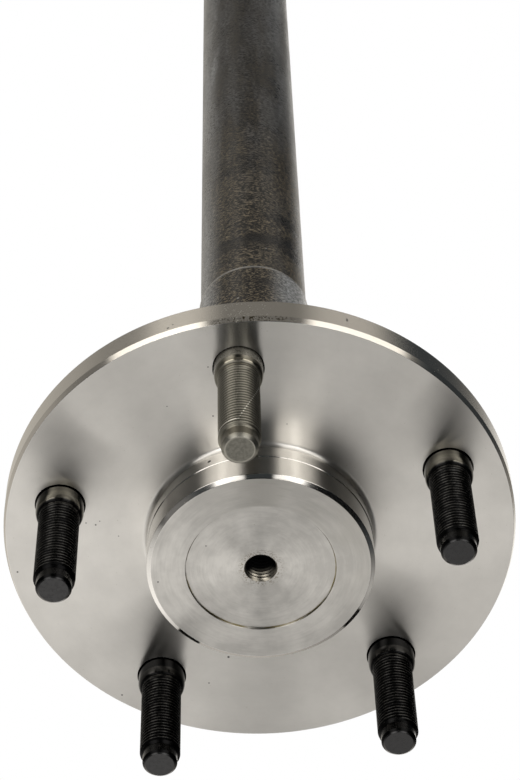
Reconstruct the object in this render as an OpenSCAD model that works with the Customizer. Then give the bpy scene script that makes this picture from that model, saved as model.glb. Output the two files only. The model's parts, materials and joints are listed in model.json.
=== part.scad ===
// Flanged rear axle shaft with pressed-in wheel studs.
// It stands on its stud tips, with +Z from the wheel side up along the shaft to the splined end.
// Lengths along the shaft are taken from the wheel face of the flange, positive towards the splines.

/* [Wheel flange] */
// Outside diameter of the flange
flange_d = 176.8; // [170:0.2:200]
// Thickness of the flange
flange_t = 12; // [10:0.5:15]
// Width of the chamfer on the rim's front edge, across the wheel face
rim_chamfer_w = 0.8; // [0.4:0.1:2]
// Height of that chamfer, along the rim
rim_chamfer_h = 2.1; // [0.8:0.1:3]
// Chamfer on the rim's back edge
rim_back_chamfer = 0.8; // [0.4:0.1:2]

/* [Pilot boss] */
// Diameter of the wheel pilot
pilot_d = 77.8; // [66:0.1:90]
// Height of the boss's end above the wheel face
boss_h = 18; // [14:0.5:24]
// Width of the chamfer on the end of the boss, across the end face
boss_chamfer_w = 1.5; // [0.5:0.1:3]
// Height of that chamfer, along the boss
boss_chamfer_h = 0.8; // [0.4:0.1:2]
// Height of the brake rotor's pilot, at the foot of the boss
rotor_pilot_h = 7; // [5:0.5:10]
// How far the rotor's pilot stands out past the wheel pilot
rotor_pilot_step = 0.2; // [0.1:0.05:0.8]
// Fillet between the boss and the wheel face
boss_fillet = 1.5; // [0.5:0.1:2.5]
// Diameter of the shallow recess in the end of the boss
recess_d = 51.4; // [40:0.2:60]
// Depth of the recess
recess_depth = 0.7; // [0.3:0.1:2]

/* [Centre hole] */
// Diameter of the tapping bore
centre_bore_d = 10.4; // [8:0.1:14]
// Depth of the tapping bore below the recess
centre_bore_depth = 30; // [20:1:45]
// Chamfer at the mouth of the bore
centre_mouth_chamfer = 0.5; // [0.2:0.1:1]
// Included angle of the drill point
drill_point_angle = 118; // [90:1:140]

/* [Wheel studs] */
// Number of studs
stud_count = 5; // [4:1:6]
// Diameter of the bolt circle
bolt_circle_d = 139.7; // [132:0.1:144]
// Thread diameter of a stud
stud_d = 14; // [12.5:0.5:15]
// How far the studs reach out of the wheel face
stud_reach = 48; // [40:1:60]
// Diameter of the hole that a stud is pressed into
stud_hole_d = 16.8; // [16.6:0.1:18]
// Chamfer at the mouth of the stud hole
stud_hole_chamfer = 0.3; // [0.1:0.1:0.6]
// Diameter of the plain collar at the wheel face
collar_d = 16.5; // [15.6:0.1:16.5]
// Length of the collar out of the wheel face
collar_l = 3.8; // [2:0.2:6]
// Length of the round shoulder between collar and thread
shoulder_l = 3.6; // [2:0.2:6]
// Diameter of the plain lead past the thread
lead_d = 12; // [10:0.2:12]
// Length of the plain lead
lead_l = 4.6; // [3:0.2:6]
// Chamfer on the tip
tip_chamfer = 1.1; // [0.4:0.1:2]
// Number of serrations that grip the hole
serration_count = 36; // [24:2:48]
// Depth of a serration
serration_depth = 0.4; // [0.2:0.05:0.6]
// Diameter of the stud's head
stud_head_d = 23; // [20:0.5:26]
// Thickness of the stud's head
stud_head_t = 5.5; // [3:0.5:8]
// Chamfer on the stud's head
stud_head_chamfer = 1; // [0.4:0.1:2]

/* [Hub and bearing journal] */
// Diameter of the hub behind the flange
hub_d = 66; // [63:1:76]
// Length of the hub behind the flange
hub_l = 11; // [10.5:0.5:16]
// Fillet between the flange and the hub
hub_fillet = 7; // [3:0.5:7.5]
// Rounding on the hub's edge
hub_edge_r = 3; // [1:0.5:3.5]
// Fillet between the hub and the journal
journal_fillet = 6.5; // [3:0.5:8]
// Diameter of the ground journal for the bearing and the oil seal
journal_d = 43.2; // [42.8:0.1:46]
// Length of the ground journal, from the hub
journal_l = 86; // [60:1:95]
// Diameter of the turned land past the journal
land_d = 42.7; // [41.6:0.1:43]
// Length of the turned land
land_l = 41; // [20:1:60]

/* [Shaft] */
// Length from the wheel face to the splined end
shaft_l = 900; // [700:5:1000]
// Diameter of the forged bar next to the land
bar_d_outer = 41.4; // [40:0.1:41.5]
// Diameter of the forged bar next to the splines
bar_d_inner = 37.8; // [36:0.1:40]
// Length of the cone from the bar down to the spline blank
neck_l = 14; // [8:1:25]

/* [Splines] */
// Number of teeth
spline_teeth = 31; // [27:1:31]
// Diametral pitch, in teeth per inch
spline_pitch = 24; // [24:1:28]
// Pressure angle of the teeth
spline_angle = 45; // [37.5:7.5:45]
// Length of the full-depth teeth
spline_l = 62; // [40:1:90]
// Length of the plain blank between the neck and the teeth
blank_l = 5; // [2:1:15]
// Radius of the cutter that runs out at the end of the teeth
cutter_r = 42; // [30:1:60]
// Chamfer on the ends of the teeth
tooth_chamfer = 1.4; // [0.8:0.1:2]

/* [Clip end] */
// Width of the groove for the retaining clip
clip_groove_w = 5.6; // [4:0.1:8]
// Diameter at the bottom of the groove
clip_groove_d = 24.5; // [20:0.5:26]
// Rounding at the bottom of the groove
clip_groove_r = 0.8; // [0.4:0.1:1.5]
// Length of the button past the groove
button_l = 9.5; // [6:0.5:15]
// Diameter of the button
button_d = 30; // [27:0.5:30]
// Chamfer on the button
button_chamfer = 1.5; // [0.5:0.1:3]
// Diameter of the lathe centre in the button
lathe_centre_d = 8; // [5:0.5:10]
// Depth of the pilot drilling in the lathe centre
lathe_pilot_depth = 10; // [9:0.5:14]
// Diameter of the pilot drilling
lathe_pilot_d = 3; // [2:0.5:4]
// Included angle of the lathe centre
lathe_centre_angle = 60; // [60:30:90]

/* [Hidden] */
$fn = 96;
STUD_NODES = [for (k = [1:stud_count]) str("wheel_stud_", k)];

inch = 25.4;
// steps of a round corner in a turned profile
arc_steps = 8;
// how far a cut runs past the face that it opens
cut_past = 1;
// the first stud points at -Y
first_stud_angle = -90;
// how far one solid reaches into another that it is joined to
join = 0.05;

boss_r = pilot_d / 2;
rotor_pilot_r = boss_r + rotor_pilot_step;
rim_r = flange_d / 2;
hub_r = hub_d / 2;
journal_r = journal_d / 2;
bore_r = centre_bore_d / 2;

// places along the shaft, from the wheel face
recess_floor = recess_depth - boss_h;
bore_end = recess_floor + centre_bore_depth;
hub_end = flange_t + hub_l;
journal_end = hub_end + journal_l;
land_end = journal_end + land_l;
groove_end = shaft_l - button_l;
spline_end = groove_end - clip_groove_w;
spline_start = spline_end - spline_l;

// involute teeth with flat roots: teeth added to and taken from the count at the tips and at the roots
tip_addition = 1;
root_deduction = 1.3;
spline_pitch_r = spline_teeth * inch / spline_pitch / 2;
spline_base_r = spline_pitch_r * cos(spline_angle);
spline_tip_r = (spline_teeth + tip_addition) * inch / spline_pitch / 2;
spline_root_r = (spline_teeth - root_deduction) * inch / spline_pitch / 2;
// the blank stands a little proud of the teeth and the core lies a little under their roots
blank_r = spline_tip_r + 3 * join;
core_r = spline_root_r - 6 * join;
runout_l = sqrt(pow(cutter_r, 2) - pow(cutter_r - (blank_r - core_r), 2));
blank_end = spline_start - runout_l;
neck_end = blank_end - blank_l;
bar_end = neck_end - neck_l;

lathe_cone_depth = (lathe_centre_d - lathe_pilot_d) / 2 / tan(lathe_centre_angle / 2);

// Points of an arc about a centre, from one angle to another
function arc(centre, r, from, to) =
    [for (i = [0:arc_steps]) let (a = from + (to - from) * i / arc_steps) centre + r * [cos(a), sin(a)]];

// Involute function of a pressure angle, in degrees
function involute(a) = tan(a) * 180 / PI - a;

// Half of a tooth's angular thickness at radius r
function half_tooth(r) =
    90 / spline_teeth + involute(spline_angle) - involute(acos(spline_base_r / r));

// Boss, recess and tapping bore: from the bottom of the bore out to the wheel face
function boss_profile() = concat(
    [
        [0, bore_end + bore_r / tan(drill_point_angle / 2)],
        [bore_r, bore_end],
        [bore_r, recess_floor + centre_mouth_chamfer],
        [bore_r + centre_mouth_chamfer, recess_floor],
        [recess_d / 2, recess_floor],
        [recess_d / 2, -boss_h],
        [boss_r - boss_chamfer_w, -boss_h],
        [boss_r, boss_chamfer_h - boss_h],
        [boss_r, -rotor_pilot_h - rotor_pilot_step],
        [rotor_pilot_r, -rotor_pilot_h]
    ],
    arc([rotor_pilot_r + boss_fillet, -boss_fillet], boss_fillet, 180, 90)
);

// Flange, hub, ground journal and turned land
function flange_profile() = concat(
    [
        [rim_r - rim_chamfer_w, 0],
        [rim_r, rim_chamfer_h],
        [rim_r, flange_t - rim_back_chamfer],
        [rim_r - rim_back_chamfer, flange_t]
    ],
    arc([hub_r + hub_fillet, flange_t + hub_fillet], hub_fillet, 270, 180),
    arc([hub_r - hub_edge_r, hub_end - hub_edge_r], hub_edge_r, 0, 90),
    arc([journal_r + journal_fillet, hub_end + journal_fillet], journal_fillet, 270, 180),
    [
        [journal_r, journal_end],
        [land_d / 2, journal_end + (journal_d - land_d) / 2],
        [land_d / 2, land_end],
        [bar_d_outer / 2, land_end + (land_d - bar_d_outer) / 2]
    ]
);

// Tapered bar, neck, cutter run-out, core of the splines, clip groove and button
function inner_profile() = concat(
    [
        [bar_d_inner / 2, bar_end],
        [blank_r, neck_end],
        [blank_r, blank_end]
    ],
    runout_profile(),
    [
        [core_r, spline_end],
        [clip_groove_d / 2 + clip_groove_r, spline_end]
    ],
    arc([clip_groove_d / 2 + clip_groove_r, spline_end + clip_groove_r], clip_groove_r, 270, 180),
    arc([clip_groove_d / 2 + clip_groove_r, groove_end - clip_groove_r], clip_groove_r, 180, 90),
    [
        [button_d / 2, groove_end],
        [button_d / 2, shaft_l - button_chamfer],
        [button_d / 2 - button_chamfer, shaft_l],
        [lathe_centre_d / 2, shaft_l],
        [lathe_pilot_d / 2, shaft_l - lathe_cone_depth],
        [lathe_pilot_d / 2, shaft_l - lathe_pilot_depth],
        [0, shaft_l - lathe_pilot_depth - lathe_pilot_d / 2 / tan(drill_point_angle / 2)]
    ]
);

// The round cutter leaves the gaps between the teeth in a shallow arc
function runout_profile() =
    [for (i = [1:arc_steps]) let (x = runout_l * (1 - i / arc_steps))
        [core_r + cutter_r - sqrt(pow(cutter_r, 2) - pow(x, 2)), spline_start - x]];

// Outline of the spline teeth, each flank through its root, its pitch point and its tip
function spline_outline() =
    let (radii = [spline_root_r, spline_pitch_r, spline_tip_r])
    [for (k = [0:spline_teeth - 1], side = [-1, 1], i = [0:2])
        let (r = radii[side < 0 ? i : 2 - i], a = 360 * k / spline_teeth + side * half_tooth(r))
        r * [cos(a), sin(a)]];

module spline_solid() {
    envelope_r = spline_tip_r + cut_past;
    chamfer = tooth_chamfer + cut_past;
    intersection() {
        translate([0, 0, blank_end])
            linear_extrude(spline_end - blank_end) polygon(spline_outline());
        rotate_extrude()
            polygon([
                [0, blank_end],
                [envelope_r, blank_end],
                [envelope_r, spline_end - chamfer],
                [envelope_r - chamfer, spline_end],
                [0, spline_end]
            ]);
    }
}

// Places its children at every stud
module at_stud(k) {
    rotate(first_stud_angle + 360 * (k - 1) / stud_count) translate([bolt_circle_d / 2, 0, 0]) children();
}

module stud_hole() {
    mouth_r = stud_hole_d / 2 + stud_hole_chamfer;
    translate([0, 0, -cut_past]) cylinder(d = stud_hole_d, h = flange_t + 2 * cut_past);
    translate([0, 0, -cut_past])
        cylinder(r1 = mouth_r + cut_past, r2 = stud_hole_d / 2, h = stud_hole_chamfer + cut_past);
}

// The forging in one piece: boss, flange, hub, journal, tapered bar, splines and clip end
module axle_shaft() {
    color("#a8a49d")
        translate([0, 0, stud_reach])
        difference() {
            union() {
                rotate_extrude() polygon(concat(boss_profile(), flange_profile(), inner_profile()));
                spline_solid();
            }
            for (k = [1:stud_count]) at_stud(k) stud_hole();
        }
}

// Turned outline of a stud, from its tip to its head
function stud_profile() =
    let (thread_r = stud_d / 2, shoulder_step = collar_d / 2 - thread_r)
    concat(
        [
            [0, -stud_reach],
            [lead_d / 2 - tip_chamfer, -stud_reach],
            [lead_d / 2, tip_chamfer - stud_reach],
            [lead_d / 2, lead_l - stud_reach],
            [thread_r, lead_l - stud_reach + thread_r - lead_d / 2],
            [thread_r, -collar_l - shoulder_l]
        ],
        [for (i = [1:arc_steps]) let (a = 90 * i / arc_steps)
            [thread_r + shoulder_step * sin(a), -collar_l - shoulder_l * cos(a)]],
        [
            [collar_d / 2, 0],
            [stud_hole_d / 2 - serration_depth, 0],
            [stud_hole_d / 2 - serration_depth, flange_t],
            [stud_head_d / 2, flange_t],
            [stud_head_d / 2, flange_t + stud_head_t - stud_head_chamfer],
            [stud_head_d / 2 - stud_head_chamfer, flange_t + stud_head_t],
            [0, flange_t + stud_head_t]
        ]
    );

// Serrations whose crests touch the wall of the hole
module serrations() {
    root_r = stud_hole_d / 2 - serration_depth - join;
    linear_extrude(flange_t - stud_hole_chamfer)
        polygon([for (i = [0:2 * serration_count - 1])
            let (r = i % 2 == 0 ? stud_hole_d / 2 : root_r, a = 180 * i / serration_count)
            r * [cos(a), sin(a)]]);
}

// Pressed-in stud: tip, thread, shoulder, collar, serrated shank and head
module wheel_stud(k) {
    color("#3c3a36")
        translate([0, 0, stud_reach])
        at_stud(k) {
            rotate_extrude() polygon(stud_profile());
            translate([0, 0, stud_hole_chamfer]) serrations();
        }
}

axle_shaft();
for (k = [1:stud_count])
    wheel_stud(k);
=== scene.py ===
"""Looks of a flanged axle shaft with pressed-in wheel studs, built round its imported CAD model."""
import json
import math

import bmesh
import bpy
from mathutils import Matrix, Vector


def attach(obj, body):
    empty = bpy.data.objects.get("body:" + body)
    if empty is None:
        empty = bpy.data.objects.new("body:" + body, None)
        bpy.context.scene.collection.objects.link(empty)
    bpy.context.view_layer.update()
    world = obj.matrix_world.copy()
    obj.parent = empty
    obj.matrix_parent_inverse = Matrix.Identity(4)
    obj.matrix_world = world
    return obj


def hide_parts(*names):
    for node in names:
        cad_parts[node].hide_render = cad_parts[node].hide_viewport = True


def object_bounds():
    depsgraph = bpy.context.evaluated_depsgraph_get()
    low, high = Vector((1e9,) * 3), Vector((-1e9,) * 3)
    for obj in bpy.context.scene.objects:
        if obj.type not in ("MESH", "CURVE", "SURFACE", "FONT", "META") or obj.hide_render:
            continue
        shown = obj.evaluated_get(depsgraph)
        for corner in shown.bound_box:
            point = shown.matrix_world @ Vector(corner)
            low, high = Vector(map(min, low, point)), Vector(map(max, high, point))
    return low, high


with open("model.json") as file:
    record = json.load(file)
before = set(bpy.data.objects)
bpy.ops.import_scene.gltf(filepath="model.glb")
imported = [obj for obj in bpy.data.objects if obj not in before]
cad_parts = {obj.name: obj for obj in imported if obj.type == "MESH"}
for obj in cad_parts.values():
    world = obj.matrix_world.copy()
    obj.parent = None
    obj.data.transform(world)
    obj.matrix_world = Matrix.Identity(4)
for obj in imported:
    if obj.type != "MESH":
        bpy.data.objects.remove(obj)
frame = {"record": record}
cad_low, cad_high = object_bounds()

MM = 0.001
PHOTO_WIDTH, PHOTO_HEIGHT = 520, 780
SENSOR = 36.0
FOCAL_PIXELS = 2675.4
FLOOR_GAP = 0.0003


def mount(name):
    return next(m for m in frame["record"]["mounts"] if m["name"] == name)


# Sizes in millimetres. Heights are above the stud tips.
FLANGE_R = cad_high.x / MM
SHAFT_END = cad_high.z / MM
WHEEL_FACE = mount("wheel_face")["pos_m"][2] / MM
BOLT_CIRCLE_R = mount("wheel_studs")["dims"]["pcd_mm"] / 2
STUD_COUNT = mount("wheel_studs")["dims"]["count"]
STUD_R = mount("wheel_studs")["dims"]["stud_r_mm"]
PILOT_R = mount("wheel_pilot")["dims"]["r_mm"]
ROTOR_PILOT_R = mount("rotor_pilot")["dims"]["r_mm"]
BORE_R = mount("centre_hole")["dims"]["r_mm"]
JOURNAL_R = mount("bearing_journal")["dims"]["r_mm"]

FLANGE_BACK = WHEEL_FACE + 12
BOSS_END = WHEEL_FACE - 18
ROTOR_PILOT_END = WHEEL_FACE - 7
RECESS_FLOOR = BOSS_END + 0.7
RECESS_R = 25.7
BORE_CHAMFER = 0.5
BORE_END = RECESS_FLOOR + 30
HUB_R = 33
HUB_END = FLANGE_BACK + 11
JOURNAL_END = HUB_END + 86
LAND_R = 21.35
LAND_END = JOURNAL_END + 41
BAR_OUTER_R = 20.7
BAR_INNER_R = 18.9
RIM_CHAMFER_W = 0.8
RIM_CHAMFER_H = 2.1
RIM_BACK_CHAMFER = 0.8
DRILL_POINT = 0.6
BOSS_CHAMFER_W = 1.5
BOSS_CHAMFER_H = 0.8
FACE_FILLET = 1.5
HUB_FILLET = 6.9
HUB_EDGE = 3
JOURNAL_FILLET = 6.5
LAND_STEP = 0.25
LAND_CHAMFER = 0.65
LAND_EDGE = 0.5
NECK_FILLET = 4
BLANK_EDGE = 2
GROOVE_FILLET = 0.8
BUTTON_CHAMFER = 1.5
CENTRE_MOUTH_R = 4
CENTRE_DRILL_R = 1.5
CENTRE_DEPTH = 10
CENTRE_ANGLE = math.radians(30)
CLEAR = 0.1

# Roundings that the solids leave out
EDGE, FINE_EDGE, KEEN_EDGE = 0.15, 0.12, 0.06
STEP_FOOT_EDGE, STEP_TOP_EDGE = 0.05, 0.08
RIM_EDGE, CENTRE_EDGE, HEAD_EDGE = 0.25, 0.1, 0.3

SPLINE_TEETH = 31
SPLINE_MODULE = 25.4 / 24
SPLINE_PRESSURE_ANGLE = math.radians(45)
SPLINE_PITCH_R = SPLINE_TEETH * SPLINE_MODULE / 2
SPLINE_TIP_R = (SPLINE_TEETH + 1) * SPLINE_MODULE / 2
SPLINE_ROOT_R = (SPLINE_TEETH - 1.3) * SPLINE_MODULE / 2
SPLINE_CORE_R = SPLINE_ROOT_R - 0.3
BLANK_R = SPLINE_TIP_R + 0.15
BUTTON_R = 15
GROOVE_R = 12.25
GROOVE_END = SHAFT_END - 9.5
SPLINE_END = GROOVE_END - 5.6
SPLINE_START = SPLINE_END - 62
CUTTER_R = 42
RUNOUT = math.sqrt(CUTTER_R**2 - (CUTTER_R - (BLANK_R - SPLINE_CORE_R)) ** 2)
BLANK_END = SPLINE_START - RUNOUT
NECK_END = BLANK_END - 5
BAR_END = NECK_END - 14
TOOTH_CHAMFER = 1.4

STUD_HOLE_R = 8.4
STUD_HOLE_CHAMFER = 0.3
COLLAR_R = 8.25
COLLAR_END = WHEEL_FACE - 3.8
SHOULDER_END = COLLAR_END - 3.6
LEAD_R = 6
LEAD_END = 4.6
TIP_CHAMFER = 1.1
TIP_EDGE_R = LEAD_R - TIP_CHAMFER
SERRATIONS = 36
SHANK_R = 8.0
STUD_HEAD_R = 11.5
STUD_HEAD_END = FLANGE_BACK + 5.5
STUD_PITCH = 1.5
TAP_R = 6
TAP_PITCH = 1.75
TAP_START = RECESS_FLOOR + BORE_CHAMFER / 2
TAP_START_R = BORE_R - CLEAR
TAP_END = BORE_END - 3
TAP_RUN_OUT = 2.0
STUD_RUN_OUT = 3.0
SERRATION_LEAD = 0.3
HEAD_CHAMFER = 1
TIP_HIGHLIGHT_WIDTH = 0.3

# Shares of a thread's pitch
THREAD_DEPTH = 0.5413
HALF_CREST, HALF_ROOT = 1 / 16, 3 / 8

TURNED_SEGMENTS = 240
HOLE_SEGMENTS = 96
TAP_SEGMENTS = 72
STUD_SEGMENTS = 2 * SERRATIONS
ROWS_PER_PITCH = 14
ROUND_STEPS, EDGE_STEPS, CURVE_STEPS = 14, 3, 10
LEAD_IN = 1.25
MERGE = 1e-6
SHARP_ANGLE = math.radians(32)


# The photograph's view, from below at the wheel face

VIEW_AZIMUTH, VIEW_ELEVATION, VIEW_ROLL = (math.radians(angle) for angle in (4.39, -57.14, -1.75))
VIEW_DISTANCE = 0.890
VIEW_AIM = Vector((0.0062, -0.0605, WHEEL_FACE * MM))
VIEW_BACK = Vector(
    (
        math.sin(VIEW_AZIMUTH) * math.cos(VIEW_ELEVATION),
        -math.cos(VIEW_AZIMUTH) * math.cos(VIEW_ELEVATION),
        math.sin(VIEW_ELEVATION),
    )
)
VIEW_PLACE = VIEW_AIM + VIEW_BACK * VIEW_DISTANCE
VIEW_TURN = (-VIEW_BACK).to_track_quat("-Z", "Y").to_matrix() @ Matrix.Rotation(VIEW_ROLL, 3, "Z")


def sight(column, row):
    """The way from the camera to what the photograph shows at a pixel."""
    return VIEW_TURN @ Vector((column - PHOTO_WIDTH / 2, PHOTO_HEIGHT / 2 - row, -FOCAL_PIXELS))


def on_level(column, row, height):
    """The place on a level face that a pixel shows, in millimetres."""
    way = sight(column, row)
    return (VIEW_PLACE + way * ((height * MM - VIEW_PLACE.z) / way.z)) / MM


def on_round(column, row, radius):
    """The near place on a round wall that a pixel shows, in millimetres."""
    way, start = sight(column, row), VIEW_PLACE / MM
    squared, along = way.xy.length_squared, start.xy.dot(way.xy)
    beyond = start.xy.length_squared - radius**2
    return start + way * ((-along - math.sqrt(along**2 - squared * beyond)) / squared)


# Node trees

def add(tree, kind, inputs=None, **settings):
    """Adds a node, sets it up, and fills or joins its inputs by name or number."""
    made = tree.nodes.new(kind)
    for key, value in settings.items():
        setattr(made, key, value)
    for key, value in (inputs or {}).items():
        if isinstance(value, bpy.types.NodeSocket):
            tree.links.new(value, made.inputs[key])
        else:
            made.inputs[key].default_value = value
    return made


def calc(tree, operation, *values, clamp=False):
    """The result of a Math node."""
    made = add(tree, "ShaderNodeMath", dict(enumerate(values)), operation=operation, use_clamp=clamp)
    return made.outputs[0]


def product(tree, *values):
    """Several values multiplied together."""
    found = values[0]
    for value in values[1:]:
        found = calc(tree, "MULTIPLY", found, value)
    return found


def ramp(tree, value, low, high, to_low=0.0, to_high=1.0, smooth=True):
    """A value carried from one range to another, held at its ends."""
    made = add(
        tree,
        "ShaderNodeMapRange",
        {"Value": value, "From Min": low, "From Max": high, "To Min": to_low, "To Max": to_high},
        interpolation_type="SMOOTHSTEP" if smooth else "LINEAR",
    )
    return made.outputs["Result"]


def new_group(name, kind, inputs, outputs):
    """An empty node group with its named sockets, and its input and output nodes."""
    tree = bpy.data.node_groups.new(name, kind)
    for label, socket, default in inputs:
        made = tree.interface.new_socket(label, in_out="INPUT", socket_type=socket)
        if default is not None:
            made.default_value = default
    for label, socket in outputs:
        tree.interface.new_socket(label, in_out="OUTPUT", socket_type=socket)
    return tree, tree.nodes.new("NodeGroupInput").outputs, tree.nodes.new("NodeGroupOutput").inputs


GEOMETRY, MATERIAL = "NodeSocketGeometry", "NodeSocketMaterial"
FLOAT, INT = "NodeSocketFloat", "NodeSocketInt"


def finish_tree(tree, geometry, material):
    """Merges seams and poles, shades round surfaces smooth and gives the material."""
    merged = add(tree, "GeometryNodeMergeByDistance", {"Geometry": geometry, "Distance": MERGE}).outputs[0]
    smooth = add(
        tree, "GeometryNodeSetShadeSmooth", {"Geometry": merged, "Shade Smooth": True}, domain="FACE"
    ).outputs[0]
    realized = add(tree, "GeometryNodeRealizeInstances", {"Geometry": smooth}).outputs[0]
    return add(tree, "GeometryNodeSetMaterial", {"Geometry": realized, "Material": material}).outputs[0]


def around_axis(tree, turn, radius, height):
    """A place at a share of a full turn, in metres from millimetres."""
    angle = product(tree, turn, math.tau)
    metres = product(tree, radius, MM)
    x = product(tree, metres, calc(tree, "COSINE", angle))
    y = product(tree, metres, calc(tree, "SINE", angle))
    return add(tree, "ShaderNodeCombineXYZ", {0: x, 1: y, 2: product(tree, height, MM)}).outputs[0]


def unit_grid(tree, columns, rows):
    """A flat grid with its share across, and its share up, as fields."""
    grid = add(
        tree,
        "GeometryNodeMeshGrid",
        {"Size X": 1.0, "Size Y": 1.0, "Vertices X": columns, "Vertices Y": rows},
    ).outputs["Mesh"]
    place = add(tree, "ShaderNodeSeparateXYZ", {0: add(tree, "GeometryNodeInputPosition").outputs[0]}).outputs
    return grid, calc(tree, "ADD", place[0], 0.5), calc(tree, "ADD", place[1], 0.5)


def turning_tree():
    """Turns an outline about the shaft's axis. Serrated rows stand out on every other column."""
    tree, given, out = new_group(
        "turned",
        "GeometryNodeTree",
        [("Outline", GEOMETRY, None), ("Segments", INT, 64), ("Material", MATERIAL, None)],
        [("Geometry", GEOMETRY)],
    )
    count = add(tree, "GeometryNodeAttributeDomainSize", {0: given["Outline"]}).outputs["Point Count"]
    columns = calc(tree, "ADD", given["Segments"], 1)
    grid, turn, up = unit_grid(tree, columns, count)
    last_row = calc(tree, "SUBTRACT", count, 1)
    row = calc(tree, "ROUND", product(tree, up, last_row))
    column = calc(tree, "ROUND", product(tree, turn, given["Segments"]))

    def sampled(kind, value):
        return add(
            tree,
            "GeometryNodeSampleIndex",
            {"Geometry": given["Outline"], "Value": value, "Index": row},
            data_type=kind,
            domain="POINT",
        ).outputs[0]

    place = add(tree, "GeometryNodeInputPosition").outputs[0]
    corner = add(tree, "ShaderNodeSeparateXYZ", {0: sampled("FLOAT_VECTOR", place)}).outputs
    serration = add(
        tree, "GeometryNodeInputNamedAttribute", {"Name": "serration"}, data_type="FLOAT"
    ).outputs[0]
    crest = calc(tree, "MODULO", column, 2.0)
    radius = calc(tree, "MULTIPLY_ADD", sampled("FLOAT", serration), crest, corner[0])
    place = around_axis(tree, turn, radius, corner[2])
    moved = add(tree, "GeometryNodeSetPosition", {"Geometry": grid, "Position": place}).outputs[0]
    tree.links.new(finish_tree(tree, moved, given["Material"]), out["Geometry"])
    return tree


def thread_tree():
    """A right-hand thread as rows that follow the helix. It starts in a cone and runs out at its end."""
    tree, given, out = new_group(
        "threaded",
        "GeometryNodeTree",
        [
            ("Base", GEOMETRY, None),
            ("Major radius", FLOAT, 7.0),
            ("Depth", FLOAT, 0.8),
            ("Pitch", FLOAT, 1.5),
            ("Start", FLOAT, 0.0),
            ("End", FLOAT, 30.0),
            ("Start radius", FLOAT, 6.0),
            ("Run out", FLOAT, 3.0),
            ("Segments", INT, 64),
            ("Material", MATERIAL, None),
        ],
        [("Geometry", GEOMETRY)],
    )
    length = calc(tree, "SUBTRACT", given["End"], given["Start"])
    turns = calc(tree, "ADD", calc(tree, "CEIL", calc(tree, "DIVIDE", length, given["Pitch"])), 1)
    rows = product(tree, turns, ROWS_PER_PITCH)
    grid, turn, up = unit_grid(
        tree, calc(tree, "ADD", given["Segments"], 1), calc(tree, "ADD", rows, 1)
    )
    phase = product(tree, up, turns)
    climbed = product(tree, calc(tree, "SUBTRACT", calc(tree, "ADD", phase, turn), 1), given["Pitch"])
    height = calc(tree, "ADD", given["Start"], climbed)
    height = calc(tree, "MINIMUM", calc(tree, "MAXIMUM", height, given["Start"]), given["End"])
    from_crest = calc(tree, "PINGPONG", phase, 0.5)
    sunk = ramp(tree, from_crest, HALF_CREST, HALF_ROOT, smooth=False)
    sunk = calc(tree, "MULTIPLY_ADD", ramp(tree, sunk, 0, 1), 0.5, product(tree, sunk, 0.5))
    left = calc(tree, "DIVIDE", calc(tree, "SUBTRACT", given["End"], height), given["Run out"])
    sunk = product(tree, sunk, ramp(tree, left, 0, 1))
    threaded = calc(tree, "SUBTRACT", given["Major radius"], product(tree, sunk, given["Depth"]))
    cone = calc(tree, "ADD", given["Start radius"], calc(tree, "SUBTRACT", height, given["Start"]))
    radius = calc(tree, "MINIMUM", threaded, cone)
    sunk = calc(tree, "DIVIDE", calc(tree, "SUBTRACT", given["Major radius"], radius), given["Depth"])
    crest = calc(tree, "SUBTRACT", 1.0, sunk, clamp=True)
    past_crest = calc(tree, "FRACT", phase)
    inner_flank = product(tree, ramp(tree, past_crest, 0.04, 0.10), ramp(tree, past_crest, 0.40, 0.50, 1, 0))
    stored = grid
    for name, value in (("crest", crest), ("inner_flank", inner_flank)):
        stored = add(
            tree,
            "GeometryNodeStoreNamedAttribute",
            {"Geometry": stored, "Name": name, "Value": value},
            data_type="FLOAT",
            domain="POINT",
        ).outputs[0]
    place = around_axis(tree, turn, radius, height)
    moved = add(tree, "GeometryNodeSetPosition", {"Geometry": stored, "Position": place}).outputs[0]
    joined = add(tree, "GeometryNodeJoinGeometry").inputs[0]
    tree.links.new(given["Base"], joined)
    tree.links.new(moved, joined)
    tree.links.new(finish_tree(tree, joined.node.outputs[0], given["Material"]), out["Geometry"])
    return tree


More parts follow.
